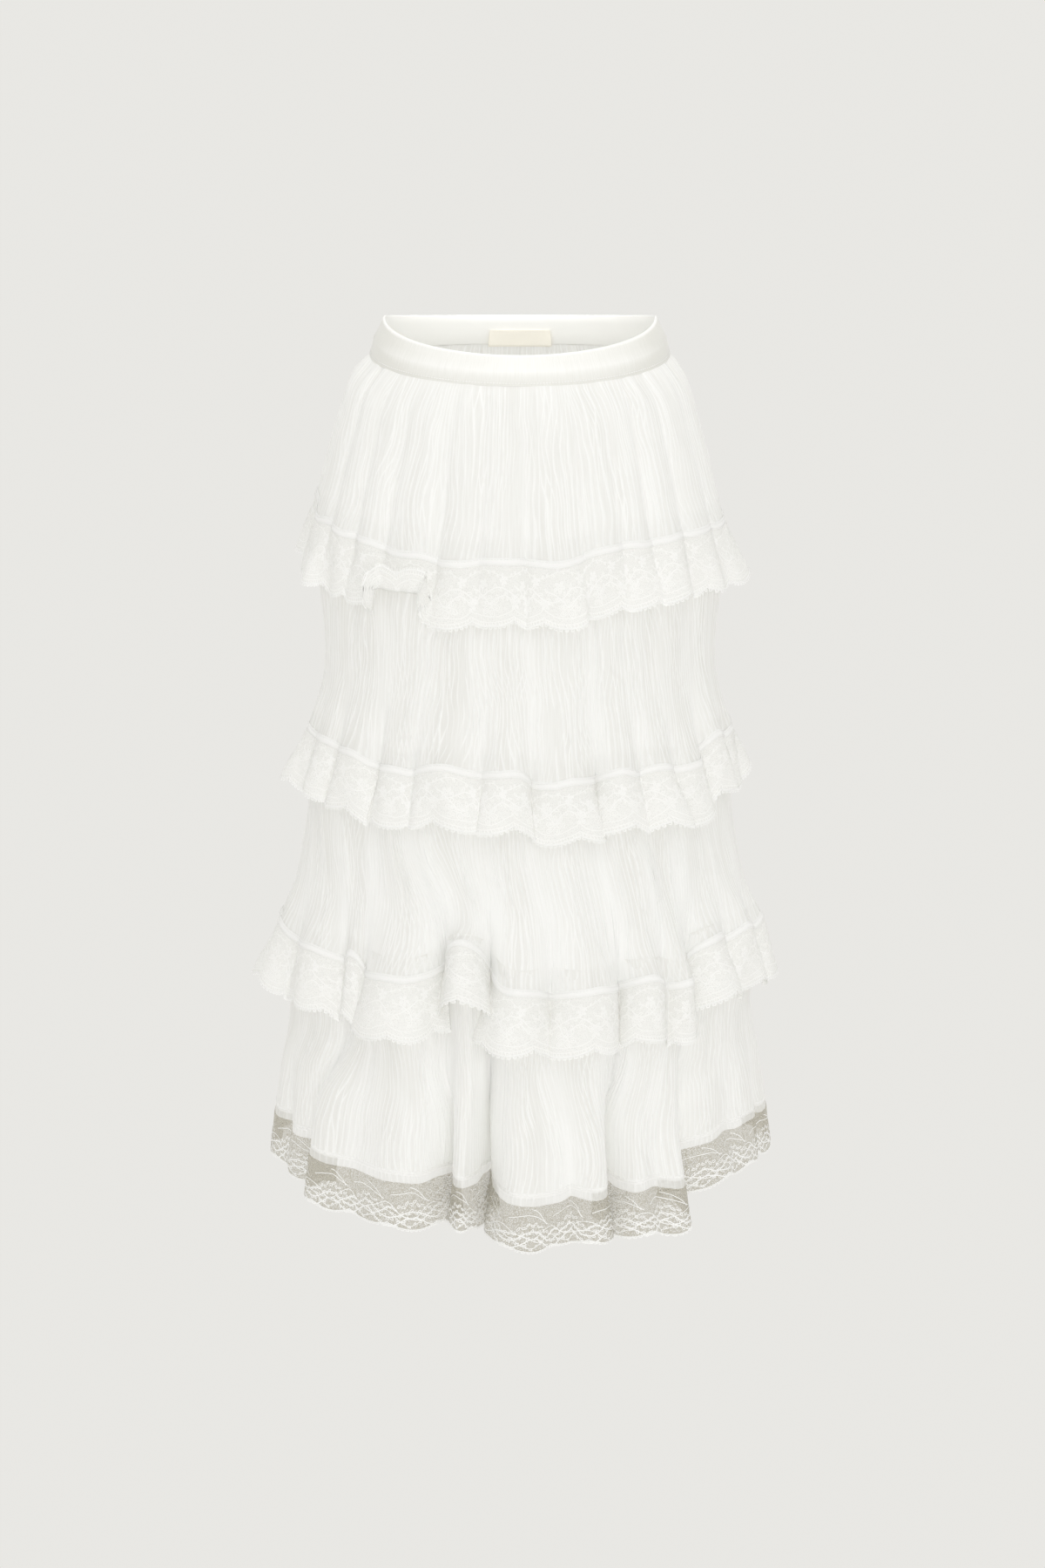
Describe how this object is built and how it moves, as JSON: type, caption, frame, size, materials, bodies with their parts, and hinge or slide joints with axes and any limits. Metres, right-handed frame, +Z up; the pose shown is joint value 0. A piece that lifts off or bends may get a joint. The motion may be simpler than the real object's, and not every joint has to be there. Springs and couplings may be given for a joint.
{
  "type": "tiered ruffle skirt",
  "caption": "Long hollow skirt in stacked tiers of crinkled chiffon, each tier ending in a flat tape and a gathered scalloped lace ruffle, with a smooth waistband.",
  "frame": {"origin": "centre of the waist opening, midway down the waistband at the side seams", "axes": "+Z up out of the waist, +X to the right of someone who faces the skirt's front, front faces -Y"},
  "size_m": [0.5047, 0.4974, 0.8529],
  "materials": {
    "chiffon": "white crinkled chiffon, matte and slightly sheer",
    "tape": "flat white woven tape with topstitching",
    "lace": "white net lace with corded flowers and vines",
    "satin": "white satin with a soft sheen",
    "label": "plain cream woven label"
  },
  "bodies": {
    "root": {"waistband": "satin", "waist_label": "label", "tier_1_front": "chiffon", "tier_1_back": "chiffon", "tier_2_front": "chiffon", "tier_2_back": "chiffon", "tier_3_front": "chiffon", "tier_3_back": "chiffon", "tier_4_front": "chiffon", "tier_4_back": "chiffon", "hem_tape_1_front": "tape", "hem_tape_1_back": "tape", "hem_tape_2_front": "tape", "hem_tape_2_back": "tape", "hem_tape_3_front": "tape", "hem_tape_3_back": "tape", "lace_1_front": "lace", "lace_1_back": "lace", "lace_2_front": "lace", "lace_2_back": "lace", "lace_3_front": "lace", "lace_3_back": "lace", "lace_4_front": "lace", "lace_4_back": "lace"}
  },
  "joints": []
}
